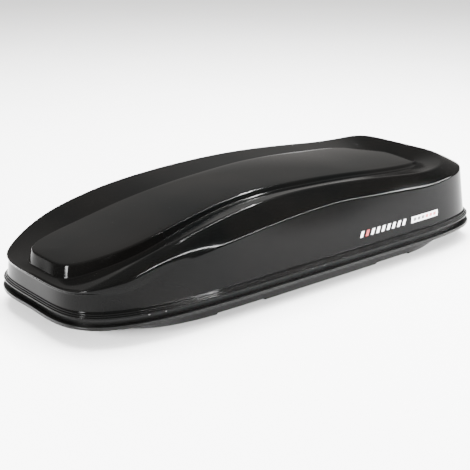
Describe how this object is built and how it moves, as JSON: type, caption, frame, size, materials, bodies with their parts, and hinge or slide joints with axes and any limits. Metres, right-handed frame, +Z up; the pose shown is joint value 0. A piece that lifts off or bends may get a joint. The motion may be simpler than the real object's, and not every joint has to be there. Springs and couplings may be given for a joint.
{
  "type": "roof cargo box",
  "caption": "Long roof cargo box with a sculpted gloss lid on side hinges, gas struts, a sliding central latch and slotted mounting rails.",
  "frame": {"origin": "centre of the footprint, on the pads under the base", "axes": "+X towards the nose, +Y towards the hinge side, +Z up"},
  "size_m": [2.0545, 0.8441, 0.3931],
  "materials": {
    "lid_gloss": "high gloss",
    "base_satin": "satin, fine grain",
    "steel": "zinc plated",
    "rivet": "dark anodised",
    "black_steel": "satin powder coat",
    "rod_chrome": "polished",
    "latch_plastic": "satin",
    "lock_metal": "satin"
  },
  "bodies": {
    "base": {"base_shell": "base_satin", "mount_rail_rivets": "rivet", "hinge_base_rivets": "rivet", "strut_bracket_rivets": "rivet", "keeper_rivets": "rivet", "mount_rail_front_left": "steel", "mount_rail_front_right": "steel", "mount_rail_rear_left": "steel", "mount_rail_rear_right": "steel", "hinge_base_leaf_front": "steel", "hinge_base_leaf_middle": "steel", "hinge_base_leaf_rear": "steel", "hinge_pin_front": "steel", "hinge_pin_middle": "steel", "hinge_pin_rear": "steel", "keeper_front": "steel", "keeper_middle": "steel", "keeper_rear": "steel", "strut_base_bracket_front": "black_steel", "strut_base_bracket_rear": "black_steel"},
    "lid": {"lid_shell": "lid_gloss", "hinge_lid_rivets": "rivet", "lock_housing": "latch_plastic", "latch_guide_front": "latch_plastic", "latch_guide_rear": "latch_plastic", "hinge_lid_leaf_front": "steel", "hinge_lid_leaf_middle": "steel", "hinge_lid_leaf_rear": "steel", "strut_lid_bracket_front": "black_steel", "strut_lid_bracket_rear": "black_steel"},
    "strut_barrel_front": {"strut_barrel_front": "black_steel"},
    "strut_barrel_rear": {"strut_barrel_rear": "black_steel"},
    "strut_rod_front": {"strut_rod_front": "rod_chrome"},
    "strut_rod_rear": {"strut_rod_rear": "rod_chrome"},
    "lock_plug": {"lock_plug": "lock_metal", "lock_cam": "steel"},
    "latch": {"latch_bar": "steel", "latch_hook_front": "latch_plastic", "latch_hook_middle": "latch_plastic", "latch_hook_rear": "latch_plastic"}
  },
  "joints": [
    {"name": "lid_hinge", "type": "hinge", "parent": "base", "child": "lid", "pos_m": [0, 0.399, 0.1085], "axis": [-1, 0, 0], "range_deg": [0, 52]},
    {"name": "strut_swing_front", "type": "hinge", "parent": "base", "child": "strut_barrel_front", "pos_m": [0.56, 0.352, 0.062], "axis": [-1, 0, 0], "range_deg": [0, 55]},
    {"name": "strut_slide_front", "type": "slide", "parent": "strut_barrel_front", "child": "strut_rod_front", "axis": [0, -0.9015, 0.4328], "range_m": [0, 0.062]},
    {"name": "strut_swing_rear", "type": "hinge", "parent": "base", "child": "strut_barrel_rear", "pos_m": [-0.66, 0.352, 0.062], "axis": [-1, 0, 0], "range_deg": [0, 55]},
    {"name": "strut_slide_rear", "type": "slide", "parent": "strut_barrel_rear", "child": "strut_rod_rear", "axis": [0, -0.9015, 0.4328], "range_m": [0, 0.062]},
    {"name": "latch_slide", "type": "slide", "parent": "lid", "child": "latch", "axis": [1, 0, 0], "range_m": [0, 0.0169]},
    {"name": "lock_turn", "type": "hinge", "parent": "lid", "child": "lock_plug", "pos_m": [0, -0.385, 0.152], "axis": [0, 1, 0], "range_deg": [0, 90]}
  ],
  "couplings": [
    {"joint": "strut_swing_front", "follows": "lid_hinge", "ratio": 0.9932},
    {"joint": "strut_slide_front", "follows": "lid_hinge", "m_per_rad": 0.06365},
    {"joint": "strut_swing_rear", "follows": "lid_hinge", "ratio": 0.9932},
    {"joint": "strut_slide_rear", "follows": "lid_hinge", "m_per_rad": 0.06365},
    {"joint": "lock_turn", "follows": "latch_slide", "rad_per_m": 92.5}
  ]
}
